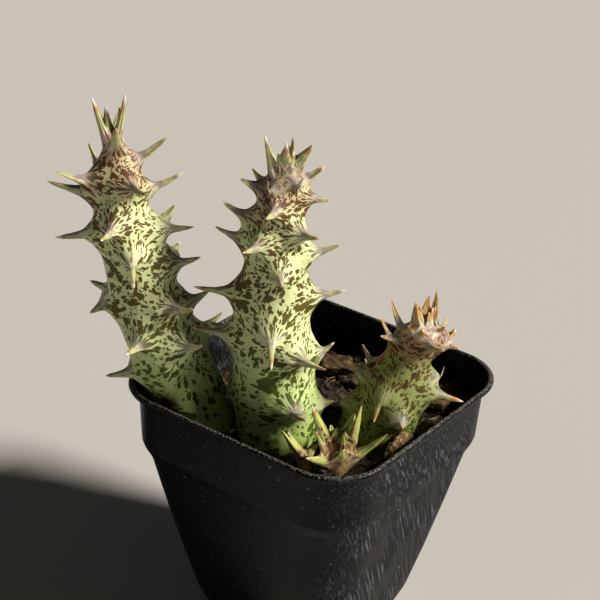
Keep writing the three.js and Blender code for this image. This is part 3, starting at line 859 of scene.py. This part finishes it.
shoots = {
    "young_front_shoot": {
        "thickness": 6.0,
        "height": 7.0,
        "swell": 0.5,
        "teeth": [
            (0.64, 205, 12, 58, 0.9),
            (0.5, 226, 7, 52, 0.8),
            (0.57, 80, 9, 62, 0.9),
            (0.57, 40, 12.5, 68),
            (0.21, 36, 11.5, 36),
            (0.29, 262, 9, 24),
            (0.43, 320, 4.5, 50),
            (0.86, 160, 3.5, 76, 0.6),
            (0.86, 0, 3.5, 72, 0.6),
            (0.36, 140, 6.5, 30, 0.8),
        ],
    },
    "young_side_shoot": {
        "thickness": 4.0,
        "height": 4.0,
        "swell": 0.4,
        "teeth": [
            (0.75, 214, 8, 50),
            (0.88, 190, 6, 44, 0.9),
            (0.75, 60, 4, 50, 0.8),
            (0.75, 320, 4, 36, 0.8),
        ],
    },
}
for name, shoot in shoots.items():
    shoot.update(foot=foot_of(name), buried=5.0, taper=0.2, slim=[(0, 1.02)], sides=12, spacing=1.2)
    shoot.update(lean=(0, 0), early=1.0, bow=(0, 0), stout=2.4, waxy=0.15)


# -------- soil and litter


def potting_soil():
    """The CAD soil, copied, merged and cut to an even mesh, with its top thrown up into lumps."""
    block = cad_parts["potting_soil"]
    soil = bpy.data.objects.new("potting_soil_lumpy", block.data.copy())
    bpy.context.scene.collection.objects.link(soil)
    edit(soil)
    bpy.ops.mesh.select_all(action="SELECT")
    bpy.ops.mesh.remove_doubles(threshold=1e-6)
    deselect_everything()
    modify(soil, "REMESH", mode="VOXEL", voxel_size=0.8 * MM)
    roughen(soil, 2.6, 6.0, direction="Z", mid_level=0.5)
    roughen(soil, 1.5, 1.6, direction="Z", mid_level=0.5)
    set_place(soil)
    smooth(soil)
    return soil


def on_soil(soil, x, y):
    """The height of the soil's top at a place, in millimetres, or nothing where a stem stands."""
    for stem in [*stems.values(), *shoots.values()]:
        apart = math.hypot(x - stem["foot"].x, y - stem["foot"].y)
        if apart < stem["thickness"] / 2 + 0.2:
            return None
    hit, place, _, _ = soil.ray_cast(mm(x, y, pot_height), Vector((0, 0, -1)))
    return place.z / MM if hit else None


def scatter(name, soil, patterns, count, smallest, largest, squash=0.7):
    """Copies of a few patterns, each with its own turn and size, lie about on the soil."""
    parts = []
    reach = soil_half - 1.2
    while len(parts) < count:
        x, y = chance.uniform(-reach, reach), chance.uniform(-reach, reach)
        corner = max(0.0, abs(x) + abs(y) - 1.72 * reach)
        z = None if corner else on_soil(soil, x, y)
        if z is None:
            continue
        size = smallest + (largest - smallest) * chance.random() ** 2.5
        pattern = chance.choice(patterns)
        part = bpy.data.objects.new(name, pattern.data.copy())
        bpy.context.scene.collection.objects.link(part)
        turn = Matrix.Rotation(chance.uniform(0, math.tau), 4, "Z")
        tilt = Matrix.Rotation(chance.uniform(-0.4, 0.4), 4, "X")
        stand = Matrix.Translation(mm(x, y, z + 0.2 * size))
        part.data.transform(stand @ (turn @ tilt) @ Matrix.Diagonal((size, size, size * squash, 1)))
        parts.append(part)
    for pattern in patterns:
        bpy.data.objects.remove(pattern)
    piece = joined(name, parts)
    smooth(piece, 35)
    return piece


def crumb_patterns(count, seed):
    """Small broken lumps, one millimetre across."""
    patterns = []
    for i in range(count):
        bpy.ops.mesh.primitive_ico_sphere_add(subdivisions=1, radius=0.5 * MM, location=(0, 0, 0))
        crumb = new_piece("crumb_pattern")
        edit(crumb)
        bpy.ops.mesh.select_all(action="SELECT")
        bpy.ops.transform.vertex_random(offset=0.16 * MM, uniform=0.0, normal=0.0, seed=seed + i)
        bpy.ops.transform.resize(value=(1.3, 0.9, 0.8), center_override=(0, 0, 0))
        deselect_everything()
        patterns.append(crumb)
    return patterns


def rootlet(name, start, compass, length, thick, wander, climb=0.0, sides=6):
    """A thin dry root: a ring taken along a wandering line and drawn in to a point."""
    place = start.copy()
    bpy.ops.mesh.primitive_circle_add(
        vertices=sides,
        radius=thick / 2 * MM,
        fill_type="NGON",
        location=place * MM,
        rotation=(0, math.radians(90), math.radians(compass)),
    )
    root = new_piece(name)
    work_on(root)
    bpy.ops.object.transform_apply(location=True, rotation=True, scale=True)
    edit(root)
    bpy.ops.mesh.select_mode(type="FACE")
    bpy.ops.mesh.select_all(action="SELECT")
    heading, steps = math.radians(compass), max(4, round(length / 1.1))
    for i in range(steps):
        heading += chance.uniform(-wander, wander)
        lift = climb + chance.uniform(-0.25, 0.25)
        step = Vector((math.cos(heading), math.sin(heading), lift)) * (length / steps)
        place = place + step
        bpy.ops.mesh.extrude_region_move(TRANSFORM_OT_translate={"value": step * MM})
        size = 0.25 if i == steps - 1 else chance.uniform(0.85, 1.02)
        bpy.ops.transform.resize(value=(size, size, size), center_override=place * MM)
    set_place(root)
    return root


def dried_root_lump():
    """A knot of shrivelled root: a folded core with rootlets lying over it and trailing off."""
    low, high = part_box("dried_root_lump")
    middle, size = (low + high) / 2 / MM, (high - low) / MM
    bpy.ops.mesh.primitive_ico_sphere_add(subdivisions=5, radius=0.5 * MM, location=(0, 0, 0))
    core = new_piece("dried_root_lump_core")
    core.scale = (size.x * 0.98, size.y * 1.12, size.z * 0.92)
    set_place(core)
    roughen(core, 1.5, 1.7, "STUCCI", mid_level=0.6)
    roughen(core, 0.8, 0.8, mid_level=0.5)
    core.data.transform(Matrix.Translation(middle * MM))
    parts = [core]
    for i in range(9):
        across = chance.uniform(-0.3, 0.3) * size.x
        along = chance.uniform(-0.45, 0.2) * size.y
        start = middle + Vector((across, along, chance.uniform(-0.1, 0.34) * size.z))
        compass, length = chance.uniform(60, 120), chance.uniform(2.5, 4.5)
        parts.append(rootlet("root_strand", start, compass, length, 0.7, 0.5, 0.02))
    lump = joined("dried_root_lump_knotted", parts)
    smooth(lump)
    return lump


# Chips, as the CAD places them: long, wide and thick, the compass of the long side, and the tilt.
chips = {
    "pale_wall_chip": (4.4, 3, 2, 70, 12),
    "brown_wall_chip": (7, 4, 3, 100, 18),
    "back_bark_chip": (12, 7, 3.4, 30, 10),
    "small_bark_chip": (4.6, 3.6, 2.6, 10, 12),
    "front_bark_chip": (3.8, 2.8, 2.4, 60, 10),
    "pink_bark_chip": (4, 2.6, 2, 20, 6),
}


def bark_chip(name):
    """A broken flake of bark: a slab with layered, splintered edges."""
    low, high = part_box(name)
    long, wide, thick, compass, tilt = chips[name]
    bpy.ops.mesh.primitive_cube_add(size=MM, location=(0, 0, 0))
    chip = new_piece(name + "_flake")
    chip.scale = (long * 0.86, wide * 0.82, thick * 0.72)
    set_place(chip)
    edit(chip)
    bpy.ops.mesh.select_all(action="SELECT")
    bpy.ops.mesh.subdivide(number_cuts=4)
    bpy.ops.transform.vertex_random(offset=0.09 * wide * MM, uniform=0.0, normal=0.0, seed=len(name))
    for side in (-1, 1):
        pick(chip, "VERT", lambda p: p.x * side > long * 0.42 and p.y * side > 0)
        pull(Vector((-side * long * 0.12, 0, 0)), wide * 0.4)
    deselect_everything()
    modify(chip, "SUBSURF", levels=2, render_levels=2)
    roughen(chip, 0.7, 1.1, "STUCCI", mid_level=0.5)
    turn = Matrix.Rotation(math.radians(compass), 4, "Z") @ Matrix.Rotation(math.radians(tilt), 4, "X")
    chip.data.transform(Matrix.Translation((low + high) / 2) @ turn)
    smooth(chip, 60)
    return chip


# -------- build

hand_in(nursery_pot(), black_pot_plastic(), "black_pot_plastic", "nursery_pot")

tall_skin = spotted_skin(
    "caralluma_skin_tall", "#93aa54", "#c9d49c", "#38550a", "#50470a", 0.055, "#b4987a", 0.96,
    [(0.35, "#b2b884"), (0.6, "#b3ab78"), (0.78, "#a3875c"), (0.9, "#c9b491"), (1.0, "#eae2d2")],
)
for name in ("tall_left_stem", "tall_middle_stem"):
    hand_in(grow_stem(name + "_grown", stems[name]), tall_skin, "stem_skin", name)
# The short stem's skin is darker all over than the tall stems': partly its own colour, partly painted shade.
short_skin = spotted_skin(
    "caralluma_skin_short_dark_and_shaded", "#4f6624", "#828b52", "#2a3d0b", "#413409", 0.07, "#ac8967", 0.84,
    [(0.25, "#b9a67c"), (0.5, "#b99a66"), (0.75, "#bd8a50"), (0.9, "#d2b28a"), (1.0, "#efe4d2")],
)
short_stem = grow_stem("short_right_stem_grown", stems["short_right_stem"])
hand_in(short_stem, short_skin, "stem_skin", "short_right_stem")
shoot_skin = spotted_skin(
    "caralluma_skin_young", "#8f7a50", "#a8986a", "#6b5530", "#745a32", 0.05, "#a89468", 0.9,
    [(0.14, "#a99b64"), (0.3, "#a5ad62"), (0.84, "#b0b56c"), (0.94, "#a98a5a"), (1.0, "#d8cdb5")],
)
for name in shoots:
    hand_in(grow_stem(name + "_grown", shoots[name]), shoot_skin, "young_shoot_skin", name)

peat = rough_matter(
    "peat_and_grit", [(0.3, "#0d0b08"), (0.52, "#1f1912"), (0.68, "#332a1d"), (0.85, "#544835")], 1.6, 0.5
)
soil = potting_soil()
hand_in(soil, peat, "potting_soil", "potting_soil")
hand_in(scatter("soil_crumbs", soil, crumb_patterns(6, 3), 520, 0.7, 2.6), peat, "potting_soil")
perlite = rough_matter("expanded_perlite", [(0.3, "#8f8a7e"), (0.6, "#b8b3a6"), (0.9, "#d2cec2")], 0.7, 0.2)
hand_in(scatter("perlite_grains", soil, crumb_patterns(3, 20), 9, 1.2, 2.4, 0.9), perlite, "potting_soil")
strands = []
while len(strands) < 46:
    x, y = (chance.uniform(-soil_half + 6, soil_half - 6) for _ in range(2))
    z = on_soil(soil, x, y)
    if z is not None:
        start = Vector((x, y, z + 0.1))
        compass, length = chance.uniform(0, 360), chance.uniform(3, 8)
        strands.append(rootlet("strand", start, compass, length, 0.5, 0.35, 0.04, 5))
fibre = rough_matter(
    "coir_fibre", [(0.3, "#38281a"), (0.6, "#5c4630"), (0.85, "#8b7353")], 0.8, 0.1, fibre=(1.0, 0.3, 1.0)
)
hand_in(joined("soil_fibres", strands), fibre, "potting_soil")
dry_root = rough_matter(
    "dried_root_cork", [(0.25, "#2a1f13"), (0.5, "#57442b"), (0.7, "#826a4b"), (0.9, "#ad9673")], 0.9, 0.35
)
hand_in(dried_root_lump(), dry_root, "dried_root", "dried_root_lump")
brown_stops = [(0.3, "#17110b"), (0.55, "#37291a"), (0.8, "#5a4730")]
brown_bark = rough_matter("composted_bark", brown_stops, 1.1, 0.35, fibre=(0.35, 1.0, 1.0))
pale_stops = [(0.3, "#6b5c48"), (0.6, "#a5967d"), (0.85, "#c8bca4")]
pale_bark = rough_matter("weathered_bark", pale_stops, 0.9, 0.3, fibre=(0.4, 1.0, 1.0))
for name in chips:
    hand_in(bark_chip(name), pale_bark if name == "pale_wall_chip" else brown_bark, "bark_chip", name)


# -------- stage


def studio():
    """A pale floor, a warm key from the right, a weak fill, a dim sky and the camera."""
    bpy.ops.mesh.primitive_plane_add(size=14, location=(0, 0, 0))
    floor = new_piece("studio_floor")
    paper, shader, _ = new_material("matt_studio_paper", 0.9)
    shader.inputs["Base Color"].default_value = colour("#b7b6b3")
    floor.data.materials.append(paper)

    aim, distance = mm(-8.14, 4.20, 82.02), 0.3589
    azimuth, elevation, roll = (math.radians(angle) for angle in (36.04, 27.06, 2.77))
    right = Vector((math.cos(azimuth), math.sin(azimuth), 0))
    level = math.cos(elevation)
    back = Vector((math.sin(azimuth) * level, -math.cos(azimuth) * level, math.sin(elevation)))
    up = back.cross(right)
    camera_right = right * math.cos(roll) + up * math.sin(roll)
    camera_up = up * math.cos(roll) - right * math.sin(roll)
    lens = bpy.data.cameras.new("camera")
    lens.lens = 90
    lens.clip_start = 0.01
    lens.clip_end = 50
    camera = bpy.data.objects.new("camera", lens)
    bpy.context.scene.collection.objects.link(camera)
    turn = Matrix((camera_right, camera_up, back)).transposed().to_4x4()
    camera.matrix_world = Matrix.Translation(aim + back * distance) @ turn
    bpy.context.scene.camera = camera

    # Both lamps stand far off, so the floor is evenly lit, and their breadth softens the shadows.
    away = Vector((-back.x, -back.y, 0)).normalized()
    for lamp_name, (to_right, to_back, upwards), strength, breadth, code in (
        ("key", (0.88, -0.2, 0.66), 6.4, 14, "#fff6ec"),
        ("fill", (-0.8, -0.7, 0.7), 0.06, 50, "#eeeeea"),
    ):
        lamp = bpy.data.lights.new(lamp_name, "SUN")
        lamp.energy = strength
        lamp.angle = math.radians(breadth)
        lamp.color = colour(code)[:3]
        stand = bpy.data.objects.new(lamp_name, lamp)
        bpy.context.scene.collection.objects.link(stand)
        towards = (right * to_right + away * to_back + UP * upwards).normalized()
        stand.location = towards
        stand.rotation_mode = "QUATERNION"
        stand.rotation_quaternion = towards.to_track_quat("Z", "Y")

    sky = bpy.data.worlds.new("studio_air")
    sky.use_nodes = True
    feed(sky.node_tree.nodes["Background"], {"Color": colour("#d3d2cc"), "Strength": 0.05})
    bpy.context.scene.world = sky
    bpy.context.scene.view_settings.view_transform = "Standard"


studio()
